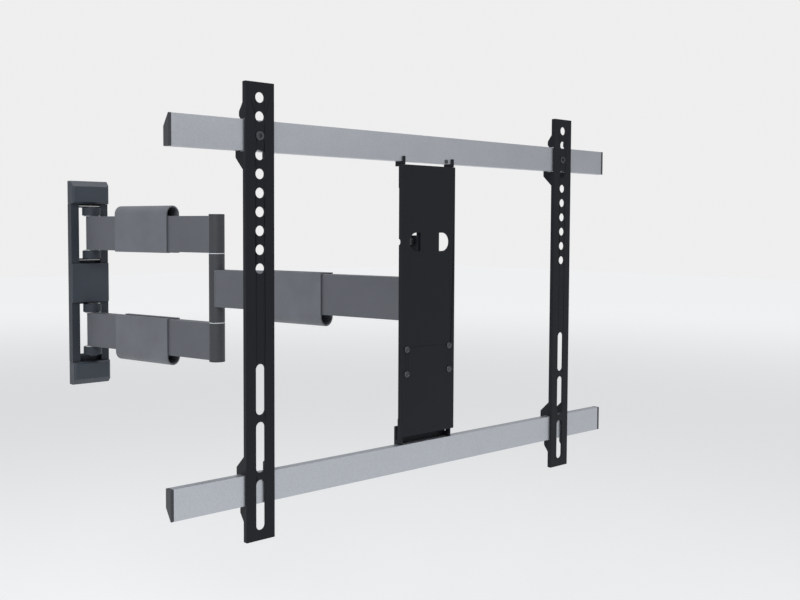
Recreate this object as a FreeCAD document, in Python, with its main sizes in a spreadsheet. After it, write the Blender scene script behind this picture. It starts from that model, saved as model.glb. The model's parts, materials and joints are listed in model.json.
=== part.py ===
"""Full motion wall mount for a flat screen: wall bracket, folding arms, swivel and tilt head, screen frame.

Origin: centre of the wall plate's back face. X runs along the wall, Y into the wall, Z up.
Every arm part is drawn in its arm's own frame, with the arm along -Y, and turned to the rest angle.
"""
import FreeCAD, Part
import os
import Sketcher
from FreeCAD import Placement, Rotation, Vector

SIZES = {
    # wall bracket
    "bracketWidth": 62, "bracketHeight": 332, "plateSheet": 3, "wallHoleRadius": 4.5, "wallHolePitch": 147,
    "profileDepth": 14, "profileSheet": 2.5, "lipWidth": 13, "windowWidth": 52, "windowHeight": 89,
    "lugRadius": 14.5, "lugThick": 12.8, "gussetThick": 2.5, "pivotDepth": 21, "forkHalfGap": 28.5,
    "coverDepth": 21, "coverWall": 2.5, "coverBevel": 3, "coverSlope": 9, "capHeight": 37, "plateGap": 0.2,
    "middleTop": 32, "middleHeight": 63.5, "middleThick": 2.5, "middleBoss": 9,
    # arms
    "armLevel": 3, "rowOffset": 78.5, "restAngle": 13.3, "rearLength": 289, "foreLength": 344,
    "tubeHeight": 54, "tubeWidth": 20, "tubeWall": 2, "tubeStart": 6, "tubeEndWall": 5,
    "barrelRadius": 8.5, "bushOuter": 6.2, "pinRadius": 4.5, "runGap": 0.05, "washerThick": 1.3,
    "washerRadius": 12, "pinHeadRadius": 8, "pinHeadThick": 2, "clipThick": 1.8,
    "columnRadius": 11.5, "columnHalf": 106, "columnJoint": 51.5, "midBarrelHalf": 50,
    "elbowPinRadius": 6, "elbowBushOuter": 9, "elbowBushHeight": 20, "columnCapThick": 2,
    # clip-on cable covers
    "clipLength": 120, "clipWall": 2.4, "clipGap": 0.6, "clipChannel": 30, "clipLip": 1.5, "clipSlit": 12,
    "rearClipStart": 75, "foreClipStart": 88,
    # swivel and tilt head
    "headReach": 34, "yokeHalfWidth": 13, "yokeSheet": 3, "yokeWebDepth": 12.5, "tabRadius": 12, "tabThick": 4,
    "yokeTop": 83, "yokeCheekSheet": 3, "yokeCheekFront": 24.5, "yokeCheekBottom": 62, "tiltLevel": 75,
    "tiltDepth": 19, "tiltBoltRadius": 3, "tiltHeadThick": 5, "tiltHeadRadius": 6.5, "spacerRadius": 5.5,
    # screen frame
    "sheet": 2.5, "spineHalfWidth": 44.5, "spineTop": 168, "spineBottom": 161, "spineFront": 0.3,
    "flangeDepth": 6, "dHoleRadius": 11.3, "dHoleStraight": 6.5, "leftHoleFlat": 14, "rightHoleFlat": 17,
    "notchRadius": 4, "notchTopDrop": 14, "notchBottomRise": 12, "channelHalfWidth": 39.3,
    "channelFront": 2.9, "channelDepth": 10, "channelTop": 168, "channelBottom": 149.9,
    "channelWindowWidth": 82, "channelWindowHeight": 30, "earHalfWidth": 16.6, "earDepth": 22,
    "earHeight": 16, "spineScrewX": 35.5, "spineScrewLow": 85, "spineScrewPitch": 30,
    "spineScrewRadius": 2.4, "spineScrewHead": 4, "spineScrewHeadThick": 1.4, "railLength": 693,
    "railLevel": 188.1, "railFront": 3, "railDepth": 10, "railFace": 33, "railBack": 20, "railWall": 1.8,
    "endFlange": 3.5, "endPlug": 14, "endPlugGap": 0.15, "bracketSheet": 3, "cheekThick": 2.5,
    "cheekEnd": 140, "cheekStep": 166, "backEnd": 198, "topBackStart": 172.6, "bottomBackStart": 150,
    "hookTop": 178, "stopScrewX": 31, "stopScrewRadius": 2.6, "stopScrewThick": 0.9, "stopScrewRise": 3,
    "railBoltX": 25, "railBoltRadius": 3, "railBoltHead": 5.5, "railBoltHeadThick": 4,
    # screen arms that slide on the rails
    "armSpacing": 500, "armOffset": 5, "armHalfWidth": 18, "armHalfHeight": 244,
    "holeRadius": 5.5, "holePitch": 20, "topHole": 228, "slotLength": 54.6, "slotPitch": 62.3, "slotTop": -53.7,
    "jawGap": 0.4, "outerJaw": 17, "outerJawDepth": 13, "innerJaw": 19, "innerJawDepth": 20, "hookLip": 5,
    "jawNose": 3, "jawNoseDrop": 8, "jawBackDrop": 6,
    "lockRadius": 5, "lockSocket": 2.5,
}

doc = FreeCAD.newDocument("tv_wall_mount")
dims = doc.addObject("Spreadsheet::Sheet", "dims")
for row, (alias, number) in enumerate(SIZES.items(), 1):
    dims.set(f"A{row}", alias)
    dims.set(f"B{row}", str(number))
    dims.setAlias(f"B{row}", alias)
doc.recompute()

# Places of the five frames, as expressions: (x, y, z, turn about Z)
REACH = "(dims.rearLength + dims.foreLength)"
ELBOW_X = "dims.rearLength * sin(dims.restAngle)"
ELBOW_Y = "-dims.pivotDepth - dims.rearLength * cos(dims.restAngle)"
HEAD_X = f"{REACH} * sin(dims.restAngle)"
HEAD_Y = f"-dims.pivotDepth - {REACH} * cos(dims.restAngle)"
FRAMES = {
    "wall": ("0", "0", "0", "0"),
    "rear": ("0", "-dims.pivotDepth", "dims.armLevel", "dims.restAngle"),
    "fore": (ELBOW_X, ELBOW_Y, "dims.armLevel", "dims.restAngle"),
    "head": (HEAD_X, HEAD_Y, "0", "0"),
    "screen": (HEAD_X, f"{HEAD_Y} - dims.headReach", "0", "0"),
    "left_arm": (f"{HEAD_X} + dims.armOffset - dims.armSpacing / 2", f"{HEAD_Y} - dims.headReach", "0", "0"),
    "right_arm": (f"{HEAD_X} + dims.armOffset + dims.armSpacing / 2", f"{HEAD_Y} - dims.headReach", "0", "0"),
}
ALONG = {"X": Rotation(Vector(0, 1, 0), 90), "Y": Rotation(Vector(1, 0, 0), 90), "Z": Rotation()}
sub_parts = []


def bind(item, **sizes):
    """Bind each named property of an object to an expression of the sheet."""
    for name, expression in sizes.items():
        item.setExpression(name.replace("__", "."), expression)


def part(item, label, frame):
    """Name an object as a finished sub-part and put it in its frame."""
    item.Label = label
    x, y, z, turn = FRAMES[frame]
    item.Placement = Placement(Vector(0, 0, 0), Rotation(Vector(0, 0, 1), 1))
    bind(item, Placement__Base__x=x, Placement__Base__y=y, Placement__Base__z=z)
    bind(item, Placement__Rotation__Angle=turn)
    sub_parts.append(item)
    return item


def box(x, y, z, length, width, height):
    """A block from its lowest corner and its three sizes."""
    block = doc.addObject("Part::Box", "block")
    bind(block, Length=length, Width=width, Height=height)
    bind(block, Placement__Base__x=x, Placement__Base__y=y, Placement__Base__z=z)
    return block


def rod(x, y, z, radius, length, axis="Z"):
    """A round bar from the centre of one end. Along X it runs to +X, along Y to -Y, along Z up."""
    bar = doc.addObject("Part::Cylinder", "rod")
    bar.Placement = Placement(Vector(0, 0, 0), ALONG[axis])
    bind(bar, Radius=radius, Height=length)
    bind(bar, Placement__Base__x=x, Placement__Base__y=y, Placement__Base__z=z)
    return bar


def hexagon(x, y, z, radius, length, axis="Z"):
    """A six-sided bar, placed as a round one. The radius is to its corners."""
    bar = doc.addObject("Part::Prism", "hexagon")
    bar.Polygon = 6
    bar.Placement = Placement(Vector(0, 0, 0), ALONG[axis])
    bind(bar, Circumradius=radius, Height=length)
    bind(bar, Placement__Base__x=x, Placement__Base__y=y, Placement__Base__z=z)
    return bar


def fuse(*shapes):
    joined = doc.addObject("Part::MultiFuse", "fuse")
    joined.Shapes = list(shapes)
    joined.Refine = True
    return joined


def cut(base, *tools):
    """Take the tools away from the base, which must lose volume."""
    result = doc.addObject("Part::Cut", "cut")
    result.Base = base
    result.Tool = fuse(*tools) if len(tools) > 1 else tools[0]
    result.Refine = True
    doc.recompute()
    assert result.Shape.Volume < base.Shape.Volume, "a cut took nothing away"
    return result


def group(*shapes):
    """Several separate solids of one kind, kept apart in one sub-part."""
    together = doc.addObject("Part::Compound", "group")
    together.Links = list(shapes)
    return together


def ring(x, y, z, outer, inner, length, axis="Z"):
    return cut(rod(x, y, z, outer, length, axis), rod(x, y, z, inner, length, axis))


# ---------------------------------------------------------------- sketched parts

def new_body(name):
    return doc.addObject("PartDesign::Body", name)


def sketch_on(body, role, shift="0"):
    """A sketch on one of the body's own origin planes, moved along the plane's normal."""
    plane = next(item for item in body.Origin.OriginFeatures if item.Role == role)
    drawing = body.newObject("Sketcher::SketchObject", "outline")
    drawing.AttachmentSupport = (plane, [""])
    drawing.MapMode = "FlatFace"
    bind(drawing, AttachmentOffset__Base__z=shift)
    return drawing


def fix(drawing, kind, *where, size):
    """Add one dimension to a sketch and bind it to the sheet."""
    index = drawing.addConstraint(Sketcher.Constraint(kind, *where, 1.0))
    drawing.setExpression(f"Constraints[{index}]", size)


def polygon(drawing, points):
    """A closed outline, each corner placed by two dimensions from the sketch's origin."""
    first = drawing.GeometryCount
    count = len(points)
    for index in range(count):
        start = Vector(index, index * index, 0)
        after = (index + 1) % count
        drawing.addGeometry(Part.LineSegment(start, Vector(after, after * after, 0)), False)
    for index, (across, up) in enumerate(points):
        line, before = first + index, first + (index - 1) % count
        drawing.addConstraint(Sketcher.Constraint("Coincident", before, 2, line, 1))
        fix(drawing, "DistanceX", -1, 1, line, 1, size=across)
        fix(drawing, "DistanceY", -1, 1, line, 1, size=up)


def rectangle(drawing, left, low, width, height):
    right, high = f"{left} + {width}", f"{low} + {height}"
    polygon(drawing, [(left, low), (right, low), (right, high), (left, high)])


def circle(drawing, across, up, radius):
    index = drawing.addGeometry(Part.Circle(Vector(1, 1, 0), Vector(0, 0, 1), 1), False)
    fix(drawing, "DistanceX", -1, 1, index, 3, size=across)
    fix(drawing, "DistanceY", -1, 1, index, 3, size=up)
    fix(drawing, "Radius", index, size=radius)


def pad(body, drawing, length, centred=False):
    feature = body.newObject("PartDesign::Pad", "pad")
    feature.Profile = drawing
    feature.Midplane = centred
    bind(feature, Length=length)
    doc.recompute()
    return feature


def pocket(body, drawing, depth):
    """Cut from the sketch plane to both sides, and check that material went."""
    before = body.Shape.Volume
    feature = body.newObject("PartDesign::Pocket", "pocket")
    feature.Profile = drawing
    feature.Midplane = True
    bind(feature, Length=depth)
    doc.recompute()
    assert body.Shape.Volume < before, "a pocket cut nothing"
    return feature


def repeat(body, feature, drawing, direction, span, count):
    """Repeat a feature in a line along one of its sketch's axes."""
    pattern = body.newObject("PartDesign::LinearPattern", "pattern")
    pattern.Originals = [feature]
    pattern.Direction = (drawing, [direction])
    pattern.Reversed = True
    bind(pattern, Length=span)
    pattern.Occurrences = count
    before = body.Shape.Volume
    body.Tip = pattern
    doc.recompute()
    assert body.Shape.Volume < before, "a pattern repeated nothing"


# ---------------------------------------------------------------- wall bracket

FORK_OUTER = "(dims.forkHalfGap + dims.lugThick)"
TAB_OUTER = "(dims.forkHalfGap + dims.tabThick)"
ROWS = {"upper": "dims.rowOffset", "lower": "-dims.rowOffset"}


def wall_plate():
    """Back plate with three wall screw holes and a lipped profile, with a window behind each pivot."""
    body = new_body("wall_plate_body")
    inner_width = "(dims.bracketWidth - 2 * dims.coverWall - 2 * dims.plateGap)"
    inner_height = "(dims.bracketHeight - 2 * dims.coverWall - 2 * dims.plateGap)"
    blank = sketch_on(body, "XZ_Plane")
    rectangle(blank, f"-{inner_width} / 2", f"-{inner_height} / 2", inner_width, inner_height)
    pad(body, blank, "dims.plateSheet")
    section = sketch_on(body, "XY_Plane")
    side, lip = "dims.bracketWidth / 2", "(dims.bracketWidth / 2 - dims.lipWidth)"
    inside, sheet = "(dims.bracketWidth / 2 - dims.profileSheet)", "dims.profileSheet"
    right = [(side, "0"), (side, "-dims.profileDepth"), (lip, "-dims.profileDepth"),
             (lip, f"-dims.profileDepth + {sheet}"), (inside, f"-dims.profileDepth + {sheet}"),
             (inside, "-dims.plateSheet")]
    left = [(f"-({x})", y) for x, y in reversed(right)]
    polygon(section, right + left)
    pad(body, section, "dims.bracketHeight - 2 * dims.capHeight - 2 * dims.plateGap", centred=True)
    windows = sketch_on(body, "XZ_Plane")
    for level in ROWS.values():
        rectangle(windows, "-dims.windowWidth / 2", f"dims.armLevel + {level} - dims.windowHeight / 2",
                  "dims.windowWidth", "dims.windowHeight")
    pocket(body, windows, "2 * dims.plateSheet + 1")
    holes = sketch_on(body, "XZ_Plane")
    for level in ("dims.wallHolePitch", "0", "-dims.wallHolePitch"):
        circle(holes, "0", level, "dims.wallHoleRadius")
    pocket(body, holes, "4 * dims.plateSheet")
    part(body, "wall_plate", "wall")


def fork_lug(label, level, side):
    """Round lug that holds one end of a pivot pin, welded to a gusset between the profile's side walls."""
    middle = f"dims.armLevel + {level}"
    low = "dims.forkHalfGap" if side > 0 else "-dims.forkHalfGap - dims.lugThick"
    gusset_low = f"{FORK_OUTER}" if side > 0 else f"-{FORK_OUTER} - dims.gussetThick"
    inside = "(dims.bracketWidth / 2 - dims.profileSheet)"
    nose = rod("0", "-dims.pivotDepth", f"{middle} + {low}", "dims.lugRadius", "dims.lugThick")
    gusset = box(f"-{inside}", "-dims.profileDepth + dims.profileSheet", f"{middle} + {gusset_low}",
                 f"2 * {inside}", "dims.profileDepth - dims.profileSheet - dims.plateSheet", "dims.gussetThick")
    hole = rod("0", "-dims.pivotDepth", f"{middle} - dims.tubeHeight", "dims.pinRadius + dims.runGap",
               "2 * dims.tubeHeight")
    seat = rod("0", "-dims.pivotDepth", f"{middle} + {gusset_low}", "dims.pinHeadRadius + dims.clipGap",
               "dims.gussetThick")
    part(cut(fuse(nose, gusset), hole, seat), label, "wall")


def end_cover(label, low, up):
    """Moulded cap over one end of the plate and its screw: open at the back, its outer end sloping."""
    width, depth, height = "dims.bracketWidth", "dims.coverDepth", "dims.capHeight"
    shells = []
    for wall, share in (("0", 1), ("dims.coverWall", 0.7)):
        block = box(f"-{width} / 2 + {wall}", f"-{depth} + {wall}", f"{low} + {wall}", f"{width} - 2 * {wall}",
                    f"{depth} - {wall}", f"{height} - 2 * {wall}")
        doc.recompute()
        bounds = block.Shape.BoundBox
        outer_end = bounds.ZMax if up > 0 else bounds.ZMin
        bevel = doc.addObject("Part::Chamfer", "bevel")
        bevel.Base = block
        sizes = []
        for index, edge in enumerate(block.Shape.Edges, 1):
            if edge.BoundBox.YMax < bounds.YMin + 0.001:
                at_end = abs(edge.BoundBox.Center.z - outer_end) < 0.001
                size = share * float(dims.coverSlope if at_end else dims.coverBevel)
                sizes.append((index, size, size))
        bevel.Edges = sizes
        shells.append(bevel)
    plate_room = box(f"-{width} / 2 + dims.coverWall", "-dims.plateSheet - dims.plateGap",
                     "-dims.bracketHeight / 2 + dims.coverWall", f"{width} - 2 * dims.coverWall",
                     "dims.plateSheet + dims.plateGap", "dims.bracketHeight - 2 * dims.coverWall")
    outside, inside = shells
    part(cut(outside, inside, plate_room), label, "wall")


def middle_cover():
    """Moulded plate in front of the lips, with a hollow boss that snaps between them."""
    low, height, front = "dims.middleTop - dims.middleHeight", "dims.middleHeight", "dims.profileDepth"
    boss_half = "(dims.bracketWidth / 2 - dims.lipWidth - dims.plateGap)"
    wall = "dims.coverWall"
    face = box("-dims.bracketWidth / 2", f"-{front} - dims.plateGap / 2 - dims.middleThick", low,
               "dims.bracketWidth", "dims.middleThick", height)
    boss = box(f"-{boss_half}", f"-{front} - dims.plateGap / 2", low, f"2 * {boss_half}",
               "dims.middleBoss", height)
    hollow = box(f"-{boss_half} + {wall}", f"-{front}", f"{low} + {wall}", f"2 * {boss_half} - 2 * {wall}",
                 "2 * dims.middleBoss", f"{height} - 2 * {wall}")
    part(cut(fuse(face, boss), hollow), "middle_cover", "wall")


def pivot_pin(label, frame, level, half, depth="0"):
    """Headed pin through a fork whose outer faces are half above and below the level."""
    shank = rod("0", depth, f"{level} - {half} - dims.clipThick", "dims.pinRadius",
                f"2 * {half} + dims.clipThick")
    head = rod("0", depth, f"{level} + {half}", "dims.pinHeadRadius", "dims.pinHeadThick")
    part(fuse(shank, head), label, frame)


def washers(label, frame, levels, outer, inner, gap, depth="0"):
    """Plain washers above and below each level, in the gap between a barrel and its fork."""
    shapes = []
    for level in levels:
        for side, base in ((1, f"{gap} + dims.runGap"), (-1, f"-{gap} - dims.runGap - dims.washerThick")):
            shapes.append(ring("0", depth, f"{level} + {base}", outer, inner, "dims.washerThick"))
    part(group(*shapes), label, frame)


def wall_bracket():
    wall_plate()
    for row_name, level in ROWS.items():
        fork_lug(f"{row_name}_fork_top_lug", level, 1)
        fork_lug(f"{row_name}_fork_bottom_lug", level, -1)
        pivot_pin(f"{row_name}_wall_pin", "wall", f"dims.armLevel + {level}", FORK_OUTER, "-dims.pivotDepth")
    end_cover("top_cap", "dims.bracketHeight / 2 - dims.capHeight", 1)
    middle_cover()
    end_cover("bottom_cap", "-dims.bracketHeight / 2", -1)
    washers("wall_pivot_washers", "wall", [f"dims.armLevel + {level}" for level in ROWS.values()],
            "dims.washerRadius", "dims.pinRadius + 4 * dims.runGap", "dims.tubeHeight / 2", "-dims.pivotDepth")
    clips = [ring("0", "-dims.pivotDepth", f"dims.armLevel + {level} - {FORK_OUTER} - dims.clipThick",
                  "dims.pinHeadRadius", "dims.pinRadius", "dims.clipThick") for level in ROWS.values()]
    part(group(*clips), "wall_pin_clips", "wall")


# ---------------------------------------------------------------- arms

def barrel(label, frame, y, low, height, outer, bore):
    part(ring("0", y, low, outer, bore, height), label, frame)


def arm_tube(label, frame, level, length, near, far):
    """Rectangular steel tube along -Y with closed ends, coped to the round barrels at both ends."""
    run = f"{length} - 2 * dims.tubeStart"
    low = f"{level} - dims.tubeHeight / 2"
    outside = box("-dims.tubeWidth / 2", f"-{length} + dims.tubeStart", low, "dims.tubeWidth", run,
                  "dims.tubeHeight")
    inside = box("-dims.tubeWidth / 2 + dims.tubeWall", f"-{length} + dims.tubeStart + 2 * dims.tubeEndWall",
                 f"{low} + dims.tubeWall", "dims.tubeWidth - 2 * dims.tubeWall",
                 f"{run} - 4 * dims.tubeEndWall", "dims.tubeHeight - 2 * dims.tubeWall")
    near_cope = rod("0", "0", f"{low} - 1", f"{near} + dims.runGap", "dims.tubeHeight + 2")
    far_cope = rod("0", f"-{length}", f"{low} - 1", f"{far} + dims.runGap", "dims.tubeHeight + 2")
    part(cut(outside, inside, near_cope, far_cope), label, frame)


def rear_arm():
    """Two parallel tubes, welded to short barrels at the wall and to the two column barrels at the elbow."""
    half = "dims.tubeHeight / 2"
    for row_name, level in ROWS.items():
        arm_tube(f"{row_name}_rear_tube", "rear", level, "dims.rearLength", "dims.barrelRadius",
                 "dims.columnRadius")
        barrel(f"{row_name}_wall_barrel", "rear", "0", f"{level} - {half}", "dims.tubeHeight",
               "dims.barrelRadius", "dims.bushOuter + dims.runGap")
        barrel(f"{row_name}_wall_bush", "rear", "0", f"{level} - {half}", "dims.tubeHeight",
               "dims.bushOuter", "dims.pinRadius + dims.runGap")
    column_run = "dims.columnHalf - dims.columnJoint"
    elbow_y = "-dims.rearLength"
    bore = "dims.elbowPinRadius + dims.runGap"
    barrel("upper_elbow_barrel", "rear", elbow_y, "dims.columnJoint", column_run, "dims.columnRadius", bore)
    barrel("lower_elbow_barrel", "rear", elbow_y, "-dims.columnHalf", column_run, "dims.columnRadius", bore)
    pin = rod("0", elbow_y, "-dims.columnHalf", "dims.elbowPinRadius", "2 * dims.columnHalf")
    part(group(pin), "elbow_pin", "rear")
    for label, base in (("column_top_cap", "dims.columnHalf"),
                        ("column_bottom_cap", "-dims.columnHalf - dims.columnCapThick")):
        part(group(rod("0", elbow_y, base, "dims.columnRadius", "dims.columnCapThick")), label, "rear")
    washers("elbow_washers", "rear", ["0"], "dims.columnRadius", "dims.elbowPinRadius + 4 * dims.runGap",
            "dims.midBarrelHalf", elbow_y)


def forearm():
    """Single tube between the middle of the elbow column and the swivel head."""
    arm_tube("forearm_tube", "fore", "0", "dims.foreLength", "dims.columnRadius", "dims.barrelRadius")
    barrel("elbow_middle_barrel", "fore", "0", "-dims.midBarrelHalf", "2 * dims.midBarrelHalf",
           "dims.columnRadius", "dims.elbowBushOuter + dims.runGap")
    inner = "dims.elbowPinRadius + dims.runGap"
    bushes = [ring("0", "0", base, "dims.elbowBushOuter", inner, "dims.elbowBushHeight")
              for base in ("-dims.midBarrelHalf", "dims.midBarrelHalf - dims.elbowBushHeight")]
    part(group(*bushes), "elbow_bushes", "fore")
    base = "-dims.tubeHeight / 2"
    barrel("head_barrel", "fore", "-dims.foreLength", base, "dims.tubeHeight", "dims.barrelRadius",
           "dims.bushOuter + dims.runGap")
    barrel("head_bush", "fore", "-dims.foreLength", base, "dims.tubeHeight", "dims.bushOuter",
           "dims.pinRadius + dims.runGap")


def cable_cover(label, frame, level, start, up):
    """Clip-on sleeve that hugs the tube, with a round-topped cable channel above it, or below if up is -1."""
    half = "dims.tubeHeight / 2 + dims.clipGap / 2"
    inner_half = "dims.tubeWidth / 2 + dims.clipGap"
    outer_half = f"({inner_half} + dims.clipWall)"
    back = f"-{start} - dims.clipLength"

    def span(low, high):
        """Lowest level and height of a band that runs from low to high on the channel's side."""
        bottom = low if up > 0 else f"-({high})"
        return f"{level} + {bottom}", f"({high}) - ({low})"

    def sleeve(half_width, low):
        """Straight sides with a half-round top."""
        base, height = span(low, "dims.clipChannel")
        sides = box(f"-{half_width}", back, base, f"2 * {half_width}", "dims.clipLength", height)
        crown = rod("0", f"-{start}", f"{level} + {up} * dims.clipChannel", half_width, "dims.clipLength", "Y")
        return fuse(sides, crown)

    outside = sleeve(outer_half, f"-({half}) - dims.clipLip")
    inside = sleeve(f"({inner_half})", f"-({half})")
    slit_low, slit_height = span(f"-({half}) - 2 * dims.clipLip", "0")
    slit = box("-dims.clipSlit / 2", back, slit_low, "dims.clipSlit", "dims.clipLength", slit_height)
    part(cut(outside, inside, slit), label, frame)


# ---------------------------------------------------------------- swivel and tilt head

def swivel_head():
    """Yoke on the forearm's end barrel, with the cheeks that carry the tilt bolt."""
    level = "dims.armLevel"
    top_tab, bottom_tab = f"{level} + dims.forkHalfGap", f"{level} - dims.forkHalfGap - dims.tabThick"
    web_back = "dims.yokeWebDepth"
    shapes = [box("-dims.yokeHalfWidth", f"-{web_back} - dims.yokeSheet", bottom_tab, "2 * dims.yokeHalfWidth",
                  "dims.yokeSheet", f"dims.yokeTop - ({bottom_tab})")]
    for base in (top_tab, bottom_tab):
        shapes.append(box("-dims.tabRadius", f"-{web_back}", base, "2 * dims.tabRadius", web_back,
                          "dims.tabThick"))
        shapes.append(rod("0", "0", base, "dims.tabRadius", "dims.tabThick"))
    for left in ("-dims.yokeHalfWidth", "dims.yokeHalfWidth - dims.yokeCheekSheet"):
        shapes.append(box(left, "-dims.yokeCheekFront", "dims.yokeCheekBottom", "dims.yokeCheekSheet",
                          f"dims.yokeCheekFront - {web_back} - dims.yokeSheet",
                          "dims.yokeTop - dims.yokeCheekBottom"))
    pin_hole = rod("0", "0", f"{bottom_tab} - 1", "dims.pinRadius + dims.runGap",
                   "2 * dims.forkHalfGap + 2 * dims.tabThick + 2")
    tilt_hole = rod("-2 * dims.yokeHalfWidth", "-dims.tiltDepth", "dims.tiltLevel",
                    "dims.tiltBoltRadius + dims.runGap", "4 * dims.yokeHalfWidth", "X")
    part(cut(fuse(*shapes), pin_hole, tilt_hole), "swivel_yoke", "head")
    pivot_pin("swivel_pin", "head", level, TAB_OUTER)
    part(ring("0", "0", f"{level} - {TAB_OUTER} - dims.clipThick", "dims.pinHeadRadius", "dims.pinRadius",
              "dims.clipThick"), "swivel_pin_clip", "head")
    washers("swivel_washers", "head", [level], "dims.washerRadius", "dims.pinRadius + 4 * dims.runGap",
            "dims.tubeHeight / 2")
    reach = "(dims.earHalfWidth + dims.runGap)"
    y, z = "-dims.tiltDepth", "dims.tiltLevel"
    shank = rod(f"-{reach}", y, z, "dims.tiltBoltRadius", f"2 * {reach} + dims.tiltHeadThick + 1", "X")
    head = hexagon(f"-{reach} - dims.tiltHeadThick", y, z, "dims.tiltHeadRadius", "dims.tiltHeadThick", "X")
    part(fuse(shank, head), "tilt_bolt", "head")
    nut = cut(hexagon(reach, y, z, "dims.tiltHeadRadius", "dims.tiltHeadThick", "X"),
              rod(reach, y, z, "dims.tiltBoltRadius", "dims.tiltHeadThick", "X"))
    part(nut, "tilt_nut", "head")
    spacer_run = "dims.earHalfWidth - dims.sheet - dims.yokeHalfWidth - 2 * dims.runGap"
    spacers = [ring(left, y, z, "dims.spacerRadius", "dims.tiltBoltRadius + dims.runGap", spacer_run, "X")
               for left in ("dims.yokeHalfWidth + dims.runGap",
                            "-dims.earHalfWidth + dims.sheet + dims.runGap")]
    part(group(*spacers), "tilt_spacers", "head")


# ---------------------------------------------------------------- screen frame

SCREW_PLACES = [(f"{side} * dims.spineScrewX", f"-dims.spineScrewLow + {step} * dims.spineScrewPitch")
                for side in (-1, 1) for step in (0, 1)]
BOLT_LEVEL = "(dims.railLevel - dims.railFace / 2 + dims.railBack / 2)"
BOLT_PLACES = [(f"{side} * dims.railBoltX", level) for side in (-1, 1) for level in (1, -1)]


def d_hole(flat, side):
    """Cutter for a D-shaped hole whose straight side is at flat and whose round side points to side."""
    centre = f"{flat} + {side} * dims.dHoleStraight"
    depth = "3 * dims.sheet"
    straight = box(flat if side > 0 else centre, "-1", "dims.tiltLevel - dims.dHoleRadius",
                   "dims.dHoleStraight", depth, "2 * dims.dHoleRadius")
    crown = rod(centre, f"{depth} - 1", "dims.tiltLevel", "dims.dHoleRadius", depth, "Y")
    beyond = box(f"{flat} - 2 * dims.dHoleRadius" if side > 0 else flat, "-1",
                 "dims.tiltLevel - dims.dHoleRadius", "2 * dims.dHoleRadius", depth, "2 * dims.dHoleRadius")
    return cut(fuse(straight, crown), beyond)


def spine_plate():
    """Folded front plate between the rails, with shallow notches in its flanges and two D-shaped holes."""
    width, height = "2 * dims.spineHalfWidth", "dims.spineTop + dims.spineBottom"
    blank = box("-dims.spineHalfWidth", "dims.spineFront", "-dims.spineBottom", width,
                "dims.flangeDepth", height)
    inside = box("-dims.spineHalfWidth + dims.sheet", "dims.spineFront + dims.sheet", "-dims.spineBottom - 1",
                 f"{width} - 2 * dims.sheet", "dims.flangeDepth", f"{height} + 2")
    tools = [inside, d_hole("-dims.leftHoleFlat", -1), d_hole("dims.rightHoleFlat", 1)]
    for x, z in SCREW_PLACES:
        tools.append(rod(x, "3 * dims.sheet", z, "dims.spineScrewRadius + dims.runGap", "3 * dims.sheet", "Y"))
    for side in (-1, 1):
        for level in ("dims.spineTop - dims.notchTopDrop", "dims.tiltLevel",
                      "-dims.spineBottom + dims.notchBottomRise"):
            tools.append(rod(f"{side} * dims.spineHalfWidth - dims.sheet - 1",
                             "dims.spineFront + dims.flangeDepth + dims.sheet / 2",
                             level, "dims.notchRadius", "2 * dims.sheet + 2", "X"))
    part(cut(blank, *tools), "spine_plate", "screen")


def spine_channel():
    """Shallow U channel behind the spine plate, with two windows and, between them, two tilt ears."""
    width = "2 * dims.channelHalfWidth"
    height = "(dims.channelTop + dims.channelBottom)"
    blank = box("-dims.channelHalfWidth", "dims.channelFront", "-dims.channelBottom", width,
                "dims.channelDepth - dims.channelFront", height)
    inside = box("-dims.channelHalfWidth + dims.sheet", "dims.channelFront + dims.sheet",
                 "-dims.channelBottom - 1", f"{width} - 2 * dims.sheet", "dims.channelDepth", f"{height} + 2")
    shapes = [cut(blank, inside)]
    tools = []
    for left in ("-dims.earHalfWidth", "dims.earHalfWidth - dims.sheet"):
        shapes.append(box(left, "dims.channelFront", "dims.tiltLevel - dims.earHeight / 2", "dims.sheet",
                          "dims.earDepth - dims.channelFront", "dims.earHeight"))
    for left in ("-dims.channelWindowWidth / 2", "dims.earHalfWidth"):
        tools.append(box(left, "0", "dims.tiltLevel - dims.channelWindowHeight / 2",
                         "dims.channelWindowWidth / 2 - dims.earHalfWidth", "dims.channelDepth",
                         "dims.channelWindowHeight"))
    tools.append(rod("-2 * dims.earHalfWidth", "dims.headReach - dims.tiltDepth", "dims.tiltLevel",
                     "dims.tiltBoltRadius + dims.runGap", "4 * dims.earHalfWidth", "X"))
    for x, z in SCREW_PLACES:
        tools.append(rod(x, "dims.channelDepth", z, "dims.spineScrewRadius + dims.runGap",
                         "dims.channelDepth", "Y"))
    part(cut(fuse(*shapes), *tools), "spine_channel", "screen")


def rail_outline(up, inset):
    """Rail section in Y and Z: flat front, flat inner side, outer side sloping back."""
    half = "dims.railFace / 2"
    front, back = f"dims.railFront + {inset}", f"dims.railFront + dims.railDepth - {inset}"
    inner = f"{up} * (dims.railLevel - {half} + {inset})"
    outer_front = f"{up} * (dims.railLevel + {half} - 2 * {inset})"
    outer_back = f"{up} * (dims.railLevel - {half} + dims.railBack - 0.8 * {inset})"
    return [(front, inner), (front, outer_front), (back, outer_back), (back, inner)]


def rail(label, up):
    """Hollow aluminium rail, drilled at the back for its two bracket bolts."""
    body = new_body(f"{label}_body")
    section = sketch_on(body, "YZ_Plane")
    polygon(section, rail_outline(up, "0"))
    polygon(section, rail_outline(up, "dims.railWall"))
    pad(body, section, "dims.railLength", centred=True)
    holes = sketch_on(body, "XZ_Plane", "-dims.railFront - dims.railDepth")
    for side in (-1, 1):
        circle(holes, f"{side} * dims.railBoltX", f"{up} * {BOLT_LEVEL}",
               "dims.railBoltRadius + dims.runGap")
    pocket(body, holes, "3 * dims.railWall")
    part(body, label, "screen")


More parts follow.
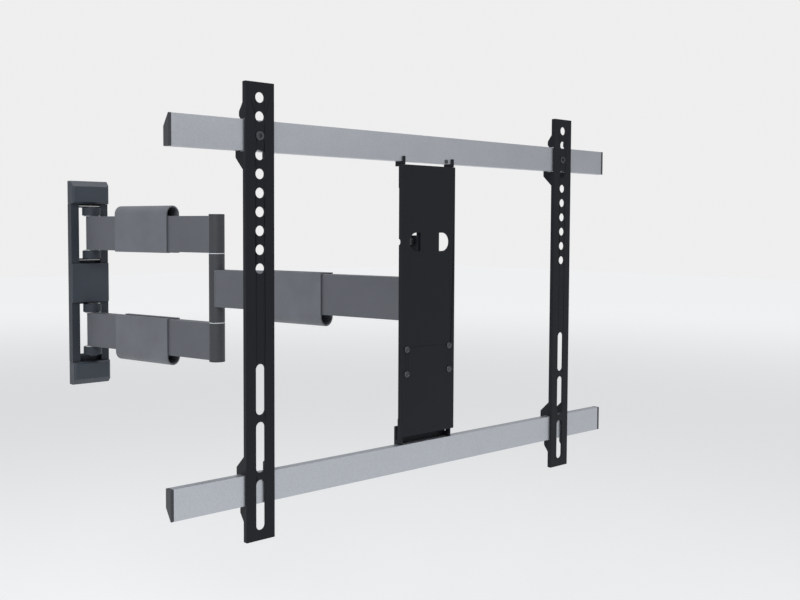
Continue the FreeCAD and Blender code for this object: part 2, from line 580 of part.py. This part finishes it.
def end_cap(label, up, side):
    """Plastic cap: a flange of the rail's own outline and a plug inside the rail."""
    body = new_body(f"{label}_body")
    edge = f"{side} * dims.railLength / 2"
    flange = sketch_on(body, "YZ_Plane", f"{edge} + {side} * dims.endFlange / 2")
    polygon(flange, rail_outline(up, "0"))
    pad(body, flange, "dims.endFlange", centred=True)
    plug = sketch_on(body, "YZ_Plane", f"{edge} - {side} * dims.endPlug / 2")
    polygon(plug, rail_outline(up, "(dims.railWall + dims.endPlugGap)"))
    pad(body, plug, "dims.endPlug", centred=True)
    part(body, label, "screen")


def rail_bracket(label, up):
    """Folded bracket: a plate behind the rail, two cheeks beside the channel and, on top, two front hooks."""
    rail_inner = "(dims.railLevel - dims.railFace / 2 - dims.runGap)"
    behind = "(dims.railFront + dims.railDepth + dims.runGap)"
    back_start = "dims.topBackStart" if up > 0 else "dims.bottomBackStart"
    outer = "(dims.channelHalfWidth + dims.runGap + dims.cheekThick)"

    def band(x, y, low, high, length, width):
        """A block between two distances from the frame's centre, mirrored for the bottom bracket."""
        base = low if up > 0 else f"-({high})"
        return box(x, y, base, length, width, f"({high}) - ({low})")

    shapes = [band(f"-{outer}", behind, back_start, "dims.backEnd", f"2 * {outer}", "dims.bracketSheet")]
    for left in (f"-{outer}", f"{outer} - dims.cheekThick"):
        shapes.append(band(left, "dims.channelFront", "dims.cheekEnd", rail_inner, "dims.cheekThick",
                           "dims.channelDepth - dims.channelFront"))
        shapes.append(band(left, "dims.channelFront", "dims.cheekStep", rail_inner, "dims.cheekThick",
                           f"{behind} + dims.bracketSheet - dims.channelFront"))
        shapes.append(band(left, behind, rail_inner, "dims.backEnd", "dims.cheekThick", "dims.bracketSheet"))
        if up > 0:
            shapes.append(band(left, "dims.spineFront", "dims.spineTop + dims.plateGap", rail_inner,
                               "dims.cheekThick", "dims.channelFront"))
            shapes.append(band(left, "dims.spineFront", rail_inner, "dims.hookTop", "dims.cheekThick",
                               "dims.sheet"))
    holes = [rod(f"{side} * dims.railBoltX", f"{behind} + 2 * dims.bracketSheet", f"{up} * {BOLT_LEVEL}",
                 "dims.railBoltRadius + dims.runGap", "3 * dims.bracketSheet", "Y") for side in (-1, 1)]
    part(cut(fuse(*shapes), *holes), label, "screen")


def screen_frame():
    spine_plate()
    spine_channel()
    for name, up in (("top", 1), ("bottom", -1)):
        rail(f"{name}_rail", up)
        rail_bracket(f"{name}_rail_bracket", up)
        end_cap(f"{name}_rail_left_cap", up, -1)
        end_cap(f"{name}_rail_right_cap", up, 1)
    stop_level = "dims.railLevel - dims.railFace / 2 + dims.stopScrewRise"
    stop = rod("dims.stopScrewX", "dims.railFront", stop_level, "dims.stopScrewRadius",
               "dims.stopScrewThick", "Y")
    part(group(stop), "rail_stop_screw", "screen")
    screws = []
    for x, z in SCREW_PLACES:
        head = rod(x, "dims.spineFront", z, "dims.spineScrewHead", "dims.spineScrewHeadThick", "Y")
        shank = rod(x, "dims.spineFront + 3 * dims.sheet", z, "dims.spineScrewRadius", "3 * dims.sheet", "Y")
        screws.append(fuse(head, shank))
    part(group(*screws), "spine_screws", "screen")
    bolts = []
    seat = "dims.railFront + dims.railDepth + dims.runGap + dims.bracketSheet"
    for x, up in BOLT_PLACES:
        z = f"{up} * {BOLT_LEVEL}"
        head = hexagon(x, f"{seat} + dims.railBoltHeadThick", z, "dims.railBoltHead",
                       "dims.railBoltHeadThick", "Y")
        shank = rod(x, seat, z, "dims.railBoltRadius", "dims.bracketSheet + 2 * dims.railWall", "Y")
        bolts.append(fuse(head, shank))
    part(group(*bolts), "rail_bolts", "screen")


# ---------------------------------------------------------------- screen arms

def jaw_outline(drawing, up):
    """Side view of the two jaws at one rail: a short one outside it and a hooked one inside it."""
    outside = "dims.railLevel + dims.railFace / 2 + dims.jawGap"
    inside = "dims.railLevel - dims.railFace / 2 - dims.jawGap"
    hook_front = "dims.railFront + dims.railDepth + dims.jawGap"
    hook_top = f"{inside} + dims.hookLip"
    outer = [("0", outside), ("dims.outerJawDepth - dims.jawNose", outside),
             ("dims.outerJawDepth", f"{outside} + dims.jawNose"),
             ("dims.outerJawDepth", f"{outside} + dims.jawNoseDrop"),
             ("dims.flangeDepth", f"{outside} + dims.outerJaw"),
             ("0", f"{outside} + dims.outerJaw")]
    inner = [("0", inside), (hook_front, inside), (hook_front, hook_top), ("dims.innerJawDepth", hook_top),
             ("dims.innerJawDepth", f"{inside} - dims.jawBackDrop"),
             ("dims.flangeDepth", f"{inside} - dims.innerJaw"),
             ("0", f"{inside} - dims.innerJaw")]
    for points in (outer, inner):
        polygon(drawing, [(y, f"{up} * ({z})") for y, z in points])


def screen_arm(label, frame):
    """Folded steel strip with ten screw holes, three long slots and jaws that hold both rails."""
    body = new_body(f"{label}_body")
    width, height = "2 * dims.armHalfWidth", "2 * dims.armHalfHeight"
    face = sketch_on(body, "XZ_Plane", "-dims.sheet")
    rectangle(face, "-dims.armHalfWidth", "-dims.armHalfHeight", width, height)
    pad(body, face, "dims.sheet")
    gap_low = "dims.railLevel - dims.railFace / 2 - dims.jawGap"
    gap_high = "dims.railLevel + dims.railFace / 2 + dims.jawGap"
    for side in (-1, 1):
        middle = f"{side} * (dims.armHalfWidth - dims.sheet / 2)"
        flange = sketch_on(body, "YZ_Plane", middle)
        rectangle(flange, "0", f"-({gap_low})", "dims.flangeDepth", f"2 * ({gap_low})")
        for low in (gap_high, "-dims.armHalfHeight"):
            rectangle(flange, "0", low, "dims.flangeDepth", f"dims.armHalfHeight - ({gap_high})")
        pad(body, flange, "dims.sheet", centred=True)
        jaws = sketch_on(body, "YZ_Plane", middle)
        jaw_outline(jaws, 1)
        jaw_outline(jaws, -1)
        pad(body, jaws, "dims.sheet", centred=True)
    hole = sketch_on(body, "XZ_Plane", "0")
    circle(hole, "0", "dims.topHole", "dims.holeRadius")
    first_hole = pocket(body, hole, "4 * dims.sheet")
    repeat(body, first_hole, hole, "V_Axis", "9 * dims.holePitch", 10)
    for number in range(3):
        top = f"dims.slotTop - {number} * dims.slotPitch"
        middle = sketch_on(body, "XZ_Plane", "0")
        rectangle(middle, "-dims.holeRadius", f"{top} - dims.slotLength + dims.holeRadius",
                  "2 * dims.holeRadius", "dims.slotLength - 2 * dims.holeRadius")
        pocket(body, middle, "4 * dims.sheet")
        for end in (f"{top} - dims.holeRadius", f"{top} - dims.slotLength + dims.holeRadius"):
            round_end = sketch_on(body, "XZ_Plane", "0")
            circle(round_end, "0", end, "dims.holeRadius")
            pocket(body, round_end, "4 * dims.sheet")
    part(body, label, frame)


def lock_screw(label, frame):
    """Socket set screw in the third hole, which bears on the rail's front face."""
    level = "dims.topHole - 2 * dims.holePitch"
    tip = "dims.railFront - dims.jawGap / 2"
    plug = rod("0", tip, level, "dims.lockRadius", f"{tip} + 0.2", "Y")
    socket = hexagon("0", tip, level, "dims.lockSocket", "3 * dims.sheet", "Y")
    socket_depth = box("-dims.lockRadius", "dims.sheet / 2", f"{level} - dims.lockRadius",
                       "2 * dims.lockRadius", "dims.sheet", "2 * dims.lockRadius")
    part(cut(plug, cut(socket, socket_depth)), label, frame)


wall_bracket()
rear_arm()
forearm()
cable_cover("upper_cable_cover", "rear", "dims.rowOffset", "dims.rearClipStart", 1)
cable_cover("lower_cable_cover", "rear", "-dims.rowOffset", "dims.rearClipStart", -1)
cable_cover("forearm_cable_cover", "fore", "0", "dims.foreClipStart", -1)
swivel_head()
screen_frame()
for hand in ("left", "right"):
    screen_arm(f"{hand}_screen_arm", f"{hand}_arm")
    lock_screw(f"{hand}_lock_screw", f"{hand}_arm")

doc.recompute()
for item in doc.Objects:
    assert not {"Invalid", "Error"} & set(item.State), f"{item.Name} failed: {item.State}"
os.makedirs("parts", exist_ok=True)
for item in sub_parts:
    shape = item.Shape
    assert not shape.isNull() and shape.isValid() and shape.Solids, f"{item.Label} has no valid solid"
    shape.exportStep(f"parts/{item.Label}.step")
    print(f"{item.Label}: {len(shape.Solids)} solid(s), {shape.Volume / 1000:.1f} cm3")
print(len(sub_parts), "sub-parts")
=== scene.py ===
"""Looks of the full motion wall mount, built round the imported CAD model.

Camera, floor and lamps, procedural finishes, softened edges, weld beads and screw heads.
"""
import json
import math

import bmesh
import bpy
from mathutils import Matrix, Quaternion, Vector


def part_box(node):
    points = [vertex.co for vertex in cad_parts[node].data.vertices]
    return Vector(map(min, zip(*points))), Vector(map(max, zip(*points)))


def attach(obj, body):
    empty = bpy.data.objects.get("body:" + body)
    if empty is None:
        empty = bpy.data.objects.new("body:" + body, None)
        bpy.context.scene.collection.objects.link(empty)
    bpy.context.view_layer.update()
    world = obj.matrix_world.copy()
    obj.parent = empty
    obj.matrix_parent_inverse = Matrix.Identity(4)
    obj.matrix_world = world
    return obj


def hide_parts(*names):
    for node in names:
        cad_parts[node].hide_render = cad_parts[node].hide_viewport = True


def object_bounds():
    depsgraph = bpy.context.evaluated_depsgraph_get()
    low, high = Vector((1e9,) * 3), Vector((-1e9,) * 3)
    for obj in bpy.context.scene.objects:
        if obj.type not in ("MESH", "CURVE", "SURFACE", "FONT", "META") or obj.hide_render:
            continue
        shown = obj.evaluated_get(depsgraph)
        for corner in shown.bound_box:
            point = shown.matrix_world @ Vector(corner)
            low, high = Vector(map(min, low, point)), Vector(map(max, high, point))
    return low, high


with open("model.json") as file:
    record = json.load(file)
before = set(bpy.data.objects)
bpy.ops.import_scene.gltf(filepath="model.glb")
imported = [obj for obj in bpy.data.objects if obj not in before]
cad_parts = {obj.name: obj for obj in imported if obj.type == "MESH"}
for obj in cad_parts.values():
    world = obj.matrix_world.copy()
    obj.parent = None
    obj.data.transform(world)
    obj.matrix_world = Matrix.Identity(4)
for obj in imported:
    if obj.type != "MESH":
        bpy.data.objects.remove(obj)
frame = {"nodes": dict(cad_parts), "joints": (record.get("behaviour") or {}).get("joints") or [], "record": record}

MM = 0.001
cad_size = [list(corner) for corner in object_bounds()]

# ---------------------------------------------------------------- camera

CAMERA_PLACE = Vector((-0.661, -1.5295, 0.0908))
CAMERA_TURN = math.radians(-41.48)
CAMERA_TILT = math.radians(-2.84)
CAMERA_ROLL = math.radians(0.28)
LENS = 43.17
SENSOR_WIDTH = 36
SHIFT_UP = -0.0294
CLIP_NEAR, CLIP_FAR = 0.01, 50


def new_object(name, data):
    made = bpy.data.objects.new(name, data)
    bpy.context.scene.collection.objects.link(made)
    return made


def make_camera():
    data = bpy.data.cameras.new("camera")
    data.lens = LENS
    data.sensor_width = SENSOR_WIDTH
    data.shift_y = SHIFT_UP
    data.clip_start, data.clip_end = CLIP_NEAR, CLIP_FAR
    forward = Vector((-math.sin(CAMERA_TURN) * math.cos(CAMERA_TILT),
                      math.cos(CAMERA_TURN) * math.cos(CAMERA_TILT),
                      math.sin(CAMERA_TILT)))
    roll = Quaternion((0, 0, 1), CAMERA_ROLL)
    camera = new_object("camera", data)
    camera.location = CAMERA_PLACE
    camera.rotation_mode = "QUATERNION"
    camera.rotation_quaternion = forward.to_track_quat("-Z", "Y") @ roll
    bpy.context.scene.camera = camera


# ---------------------------------------------------------------- materials

SLATE = (0.040, 0.050, 0.066)
BLACK = (0.0065, 0.0075, 0.0115)
GRAPHITE = (0.115, 0.122, 0.138)
SILVER = (0.52, 0.54, 0.58)
CHARCOAL = (0.035, 0.037, 0.043)
DARK_ZINC = (0.09, 0.092, 0.10)
MILKY = (0.60, 0.62, 0.64)
NOISE_LOW, NOISE_HIGH = 0.3, 0.7


class Finish:
    """Builds one procedural material around a Principled shader."""

    def __init__(self, name):
        self.material = bpy.data.materials.new(name)
        self.material.use_nodes = True
        self.tree = self.material.node_tree
        self.shader = self.tree.nodes["Principled BSDF"]
        self.place = self.tree.nodes.new("ShaderNodeTexCoord").outputs["Object"]

    def node(self, kind, **values):
        made = self.tree.nodes.new(kind)
        for key, value in values.items():
            setattr(made, key, value)
        return made

    def link(self, source, target):
        self.tree.links.new(source, target)

    def noise(self, size, detail, stretch=(1, 1, 1), rough=0.55, twist=0.0):
        """Noise with features of about this size in metres, drawn out by stretch on each axis."""
        mapping = self.node("ShaderNodeMapping")
        mapping.inputs["Scale"].default_value = [1 / (size * s) for s in stretch]
        self.link(self.place, mapping.inputs["Vector"])
        texture = self.node("ShaderNodeTexNoise")
        texture.inputs["Scale"].default_value = 1
        texture.inputs["Detail"].default_value = detail
        texture.inputs["Roughness"].default_value = rough
        texture.inputs["Distortion"].default_value = twist
        self.link(mapping.outputs["Vector"], texture.inputs["Vector"])
        return texture.outputs["Fac"]

    def remap(self, value, low, high, low_in=NOISE_LOW, high_in=NOISE_HIGH, **values):
        made = self.node("ShaderNodeMapRange", **values)
        made.inputs["From Min"].default_value = low_in
        made.inputs["From Max"].default_value = high_in
        made.inputs["To Min"].default_value = low
        made.inputs["To Max"].default_value = high
        self.link(value, made.inputs["Value"])
        return made.outputs["Result"]

    def shade(self, value, stops):
        """Colour ramp from (position, colour) stops into the base colour."""
        ramp = self.node("ShaderNodeValToRGB")
        elements = ramp.color_ramp.elements
        for element, (position, colour) in zip(elements, (stops[0], stops[-1])):
            element.position, element.color = position, (*colour, 1)
        for position, colour in stops[1:-1]:
            elements.new(position).color = (*colour, 1)
        self.link(value, ramp.inputs["Fac"])
        self.link(ramp.outputs["Color"], self.shader.inputs["Base Color"])

    def roughness(self, value, low, high):
        self.link(self.remap(value, low, high), self.shader.inputs["Roughness"])

    def bumps(self, *layers):
        """Bump layers, each (height value, strength, depth in metres), laid one over another."""
        normal = None
        for value, strength, depth in layers:
            bump = self.node("ShaderNodeBump")
            bump.inputs["Strength"].default_value = strength
            bump.inputs["Distance"].default_value = depth
            self.link(value, bump.inputs["Height"])
            if normal is not None:
                self.link(normal, bump.inputs["Normal"])
            normal = bump.outputs["Normal"]
        self.link(normal, self.shader.inputs["Normal"])

    def set(self, **values):
        """Values on the shader's own sockets, with an underscore for each space in a name."""
        for key, value in values.items():
            self.shader.inputs[key.replace("_", " ")].default_value = value
        return self.material


def scaled(colour, factor):
    return tuple(min(1.0, channel * factor) for channel in colour)


def powder_coat(name, colour, grain, depth, rough, metallic, specular):
    """Baked powder paint: fine orange peel, faint clouds of tone, fine scuffs, uneven gloss."""
    finish = Finish(name)
    cloud = finish.noise(size=55 * MM, detail=4)
    peel = finish.noise(size=grain, detail=2)
    fine = finish.noise(size=grain * 0.35, detail=2)
    streaks = finish.noise(size=1.2 * MM, detail=2, stretch=(1, 1, 14), twist=0.4)
    scuffs = finish.remap(streaks, 0, 1, low_in=0.68, high_in=0.76)
    patches = finish.noise(size=18 * MM, detail=5, rough=0.7)
    finish.shade(cloud, [(0.3, scaled(colour, 0.95)), (0.5, colour), (0.72, scaled(colour, 1.05))])
    finish.roughness(patches, rough - 0.04, rough + 0.05)
    finish.bumps((peel, 0.55, depth), (fine, 0.35, depth / 2), (scuffs, 0.2, depth))
    return finish.set(Metallic=metallic, IOR=1.5, Specular_IOR_Level=specular)


def moulded_plastic(name, colour, grain, depth, rough):
    """Injection-moulded plastic with a spark-eroded grain and soft handling marks in its gloss."""
    finish = Finish(name)
    cloud = finish.noise(size=40 * MM, detail=3)
    handling = finish.noise(size=12 * MM, detail=6, rough=0.75, twist=0.6)
    sparks = finish.noise(size=grain, detail=3, rough=0.7)
    finish.shade(cloud, [(0.32, scaled(colour, 0.92)), (0.7, scaled(colour, 1.08))])
    finish.roughness(handling, rough - 0.06, rough + 0.08)
    finish.bumps((sparks, 0.5, depth))
    return finish.set(IOR=1.46)


def satin_aluminium(name, colour):
    """Satin anodised extrusion: fine blasted grain over faint drawing lines along its length."""
    finish = Finish(name)
    lines = finish.noise(size=0.6 * MM, detail=4, stretch=(160, 1, 1), rough=0.7)
    grain = finish.noise(size=1.1 * MM, detail=3, rough=0.8)
    patches = finish.noise(size=30 * MM, detail=5, rough=0.7)
    finish.shade(grain, [(0.25, scaled(colour, 0.84)), (0.5, colour), (0.75, scaled(colour, 1.12))])
    finish.roughness(patches, 0.34, 0.42)
    finish.bumps((lines, 0.04, 0.04 * MM), (grain, 0.35, 0.06 * MM))
    return finish.set(Metallic=0.9, Anisotropic=0.2)


def zinc_steel(name, colour, rough):
    """Plated fastener steel with turning lines and a mottled film."""
    finish = Finish(name)
    film = finish.noise(size=6 * MM, detail=5, twist=0.8)
    patches = finish.noise(size=3 * MM, detail=4)
    turning = finish.noise(size=0.7 * MM, detail=3, stretch=(1, 1, 0.2))
    finish.shade(film, [(0.3, scaled(colour, 0.75)), (0.7, scaled(colour, 1.2))])
    finish.roughness(patches, rough - 0.08, rough + 0.1)
    finish.bumps((turning, 0.3, 0.06 * MM))
    return finish.set(Metallic=0.85)


def nylon(name, colour):
    """Milky bush plastic that lets a little light in."""
    finish = Finish(name)
    cloud = finish.noise(size=10 * MM, detail=3)
    patches = finish.noise(size=4 * MM, detail=4)
    grain = finish.noise(size=0.9 * MM, detail=2)
    finish.shade(cloud, [(0.3, scaled(colour, 0.94)), (0.7, scaled(colour, 1.04))])
    finish.roughness(patches, 0.36, 0.5)
    finish.bumps((grain, 0.25, 0.05 * MM))
    return finish.set(Subsurface_Weight=0.15, Subsurface_Scale=2 * MM)


def make_materials():
    """One finish for each material slot of the record, and a darker copy of the arm steel for the column as
    painted shade.
    """
    arm = {"grain": 1.0 * MM, "depth": 0.08 * MM, "rough": 0.42, "specular": 0.4}
    recipes = {
        "wall_steel": (powder_coat, dict(colour=scaled(SLATE, 0.65), grain=1.1 * MM,
                                         depth=0.10 * MM, rough=0.44, metallic=0.1,
                                         specular=0.35)),
        "cover_plastic": (moulded_plastic, dict(colour=scaled(SLATE, 0.85), grain=0.8 * MM,
                                                depth=0.10 * MM, rough=0.42)),
        "arm_steel": (powder_coat, dict(colour=GRAPHITE, metallic=0.25, **arm)),
        # The column's finish is the arm steel darkened: painted shade, not a different paint.
        "column_steel": (powder_coat, dict(colour=scaled(GRAPHITE, 0.42), metallic=0.2, **arm)),
        "clip_plastic": (moulded_plastic, dict(colour=scaled(GRAPHITE, 1.08), grain=0.9 * MM,
                                               depth=0.08 * MM, rough=0.44)),
        "black_steel": (powder_coat, dict(colour=BLACK, grain=0.9 * MM, depth=0.14 * MM,
                                          rough=0.50, metallic=0.0, specular=0.22)),
        "rail_aluminium": (satin_aluminium, dict(colour=SILVER)),
        "cap_plastic": (moulded_plastic, dict(colour=CHARCOAL, grain=0.8 * MM,
                                              depth=0.09 * MM, rough=0.45)),
        "fastener_steel": (zinc_steel, dict(colour=DARK_ZINC, rough=0.38)),
        "bush_nylon": (nylon, dict(colour=MILKY)),
    }
    return {name: make(name, **values) for name, (make, values) in recipes.items()}


# ---------------------------------------------------------------- floor, surroundings and lamps

WHITE = (1, 1, 1, 1)
FLOOR_COLOUR = (0.62, 0.625, 0.635, 1)
FLOOR_ROUGHNESS = 0.9
FLOOR_DROP = 0.45
FLOOR_HALF = 14.0
NEAR_GLOW, FAR_GLOW = 0.34, 0.6
FADE_FROM, FADE_TO = 1.5, 8.0
ROOM_TINT = (0.96, 0.98, 1, 1)
ROOM_LIGHT = 0.42
ROOM_WHITE = 0.86
# Each lamp: name, place from the middle of the mount, width, height (all in m) and power (W).
LAMPS = (
    ("key_light", (-1.7, -1.2, 1.7), 1.4, 1.4, 44),
    ("front_light", (1.2, -2.4, 1.2), 1.6, 1.0, 5),
    ("top_light", (0.2, 0.2, 2.2), 1.8, 1.8, 22),
)


def make_floor(low, middle):
    """Pale floor below the mount, which glows more with distance and so has no hard horizon."""
    finish = Finish("floor")
    away = finish.node("ShaderNodeVectorMath", operation="LENGTH")
    finish.link(finish.place, away.inputs[0])
    glow = finish.remap(away.outputs["Value"], NEAR_GLOW, FAR_GLOW, FADE_FROM, FADE_TO,
                        interpolation_type="SMOOTHSTEP")
    finish.link(glow, finish.shader.inputs["Emission Strength"])
    finish.set(Base_Color=FLOOR_COLOUR, Roughness=FLOOR_ROUGHNESS, Emission_Color=WHITE)

    mesh = bpy.data.meshes.new("floor")
    signs = ((-1, -1), (1, -1), (1, 1), (-1, 1))
    corners = [(middle.x + i * FLOOR_HALF, middle.y + j * FLOOR_HALF, low.z - FLOOR_DROP)
               for i, j in signs]
    mesh.from_pydata(corners, [], [(0, 1, 2, 3)])
    mesh.materials.append(finish.material)
    new_object("floor", mesh)


def make_room():
    """White surroundings: bright behind the object, softer as a source of light."""
    world = bpy.data.worlds.new("studio")
    world.use_nodes = True
    tree = world.node_tree
    light = tree.nodes["Background"]
    light.inputs["Color"].default_value = ROOM_TINT
    light.inputs["Strength"].default_value = ROOM_LIGHT
    white = tree.nodes.new("ShaderNodeBackground")
    white.inputs["Color"].default_value = WHITE
    white.inputs["Strength"].default_value = ROOM_WHITE
    seen = tree.nodes.new("ShaderNodeLightPath")
    mix = tree.nodes.new("ShaderNodeMixShader")
    tree.links.new(seen.outputs["Is Camera Ray"], mix.inputs["Fac"])
    tree.links.new(light.outputs["Background"], mix.inputs[1])
    tree.links.new(white.outputs["Background"], mix.inputs[2])
    tree.links.new(mix.outputs["Shader"], tree.nodes["World Output"].inputs["Surface"])
    bpy.context.scene.world = world


def softbox(name, place, aim, width, height, power):
    """A large rectangular lamp that points at aim."""
    data = bpy.data.lights.new(name, "AREA")
    data.shape = "RECTANGLE"
    data.size, data.size_y = width, height
    data.energy = power
    lamp = new_object(name, data)
    lamp.location = place
    lamp.rotation_mode = "QUATERNION"
    lamp.rotation_quaternion = (aim - place).to_track_quat("-Z", "Y")


def make_studio(low, high):
    middle = (low + high) / 2
    make_floor(low, middle)
    make_room()
    for name, offset, width, height, power in LAMPS:
        softbox(name, middle + Vector(offset), middle, width, height, power)


# ---------------------------------------------------------------- dressing the CAD pieces

COLUMN = ("upper_elbow_barrel", "elbow_middle_barrel", "lower_elbow_barrel")
DEFAULT_BREAK = 0.35 * MM
EDGE_BREAK = {
    "left_screen_arm": 0.7 * MM, "right_screen_arm": 0.7 * MM, "spine_plate": 0.7 * MM,
    "upper_rear_tube": 1.6 * MM, "lower_rear_tube": 1.6 * MM, "forearm_tube": 1.6 * MM,
    "top_cap": 0.8 * MM, "middle_cover": 0.8 * MM, "bottom_cap": 0.8 * MM,
    "top_rail": 0.4 * MM, "bottom_rail": 0.4 * MM,
}
BREAK_ANGLE = math.radians(35)
BREAK_STEPS = 2
WELD_REACH = 0.005 * MM
NORMAL_WEIGHT = 80


def soften(node, width):
    """Weld the mesh's split corners and round its sharp edges by this width."""
    weld = node.modifiers.new("weld", "WELD")
    weld.merge_threshold = WELD_REACH
    bevel = node.modifiers.new("bevel", "BEVEL")
    bevel.width = width
    bevel.segments = BREAK_STEPS
    bevel.limit_method = "ANGLE"
    bevel.angle_limit = BREAK_ANGLE
    bevel.use_clamp_overlap = True
    bevel.face_strength_mode = "FSTR_AFFECTED"
    for face in node.data.polygons:
        face.use_smooth = True
    even = node.modifiers.new("even_normals", "WEIGHTED_NORMAL")
    even.mode = "FACE_AREA"
    even.weight = NORMAL_WEIGHT
    even.use_face_influence = True


def dress(materials):
    """Give each CAD node the finish of its slot, the column a darker copy of the arm steel as painted shade, and
    break its edges.
    """
    slots = {entry["node"]: entry["material_slot"] for entry in frame["record"]["subparts"]}
    for name, node in frame["nodes"].items():
        finish = materials["column_steel" if name in COLUMN else slots[name]]
        for place in node.material_slots:
            place.material = finish
        soften(node, EDGE_BREAK.get(name, DEFAULT_BREAK))


# ---------------------------------------------------------------- small details

BEAD_RADIUS = 1.3 * MM
BEAD_SIDES = 10
RIPPLE_PITCH = 2.6 * MM
RIPPLE_STEPS = 6
RIPPLE_SHARE = 0.18
BEAD_END_SHARE = 0.3
TUBE_HALF = 10 * MM
# Each welded tube: its node, its body and which way it leaves the column along the arm.
WELDED_TUBES = (
    ("upper_rear_tube", "rear_arm", -1),
    ("lower_rear_tube", "rear_arm", -1),
    ("forearm_tube", "forearm", 1),
)
SCREW_RADIUS = 4 * MM
HEAD_SIDES = 36
SOCKET_SHARE = 0.48
# Rings of a screw head from its seat inwards: share of the radius, share of the height.
HEAD_PROFILE = ((0.9, 0), (1, 0.12), (1, 0.45), (0.93, 0.78), (0.76, 0.96), (0.64, 1))
SOCKET_PROFILE = ((1.04, 1), (1, 0.93), (0.98, 0.25), (0.3, 0.15))


def lofted(name, rings):
    """A closed mesh skin through rings that all have the same number of points."""
    mesh = bmesh.new()
    skin = [[mesh.verts.new(point) for point in ring] for ring in rings]
    for near, far in zip(skin, skin[1:]):
        for index in range(len(near)):
            after = (index + 1) % len(near)
            mesh.faces.new((near[index], near[after], far[after], far[index]))
    mesh.faces.new(list(reversed(skin[0])))
    mesh.faces.new(skin[-1])
    bmesh.ops.recalc_face_normals(mesh, faces=mesh.faces)
    data = bpy.data.meshes.new(name)
    mesh.to_mesh(data)
    mesh.free()
    for face in data.polygons:
        face.use_smooth = len(face.vertices) == 4
    return data


def add_piece(name, rings, finish, body):
    """A lofted piece with its finish and the body that it rides on."""
    piece = new_object(name, lofted(name, rings))
    piece.data.materials.append(finish)
    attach(piece, body)
    return piece


def weld_bead(name, foot, length, body, finish):
    """Upright weld with the scale-like ripples of its puddles."""
    steps = int(length / RIPPLE_PITCH * RIPPLE_STEPS)
    turn = 2 * math.pi / BEAD_SIDES
    rings = []
    for step in range(steps + 1):
        height = length * step / steps
        ripple = abs(math.sin(math.pi * height / RIPPLE_PITCH))
        inwards = min(height, length - height) / RIPPLE_PITCH
        end = min(1.0, BEAD_END_SHARE + (1 - BEAD_END_SHARE) * inwards)
        radius = BEAD_RADIUS * (1 - RIPPLE_SHARE + RIPPLE_SHARE * ripple) * end
        rings.append([foot + Vector((radius * math.cos(i * turn), radius * math.sin(i * turn),
                                     height)) for i in range(BEAD_SIDES)])
    add_piece(name, rings, finish, body)


def weld_column(finish):
    """Weld beads where each arm tube meets the elbow column, on both sides of the tube."""
    places = {joint["name"]: Vector(joint["pos_m"]) for joint in frame["joints"]
              if "pos_m" in joint}
    elbow = places["elbow_hinge"]
    along = (elbow - places["wall_hinge"]).normalized()
    across = Vector((-along.y, along.x, 0))
    low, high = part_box("elbow_middle_barrel")
    radius = (high.x - low.x) / 2
    stand_off = math.sqrt(radius ** 2 - TUBE_HALF ** 2) + BEAD_RADIUS / 4
    aside = TUBE_HALF - BEAD_RADIUS / 3
    for tube, body, way in WELDED_TUBES:
        low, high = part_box(tube)
        for side, word in ((-1, "right"), (1, "left")):
            foot = elbow + along * way * stand_off + across * side * aside
            foot.z = low.z
            weld_bead(f"{tube}_weld_{word}", foot, high.z - low.z, body, finish)


def button_head(name, seat, radius, height, body, finish):
    """Round screw head on the middle of its seat, facing -Y, with a six-sided socket."""
    turn = 2 * math.pi / HEAD_SIDES
    sixth = math.pi / 3

    def circle(size, out):
        return [seat + Vector((size * math.cos(i * turn), -out, size * math.sin(i * turn)))
                for i in range(HEAD_SIDES)]

    def hexagon(size, out):
        points = []
        for i in range(HEAD_SIDES):
            angle = i * turn
            fold = (angle + sixth / 2) % sixth - sixth / 2
            reach = size / math.cos(fold)
            points.append(seat + Vector((reach * math.cos(angle), -out, reach * math.sin(angle))))
        return points

    socket = radius * SOCKET_SHARE
    rings = [circle(radius * share, height * rise) for share, rise in HEAD_PROFILE]
    rings += [hexagon(socket * share, height * rise) for share, rise in SOCKET_PROFILE]
    return add_piece(name, rings, finish, body)


def spine_screw_heads(finish):
    """Four socket button heads in place of the CAD's plain discs."""
    low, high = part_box("spine_screws")
    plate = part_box("spine_plate")[0].y
    for i, x in enumerate((low.x + SCREW_RADIUS, high.x - SCREW_RADIUS)):
        for j, z in enumerate((low.z + SCREW_RADIUS, high.z - SCREW_RADIUS)):
            head = button_head(f"spine_screw_{i}{j}", Vector((x, plate, z)), SCREW_RADIUS,
                               plate - low.y, "screen_frame", finish)
            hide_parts("spine_screws")


make_camera()
make_studio(*(Vector(corner) for corner in cad_size))
materials = make_materials()
dress(materials)
weld_column(materials["arm_steel"])
spine_screw_heads(materials["fastener_steel"])
bpy.context.scene.view_settings.view_transform = "Standard"
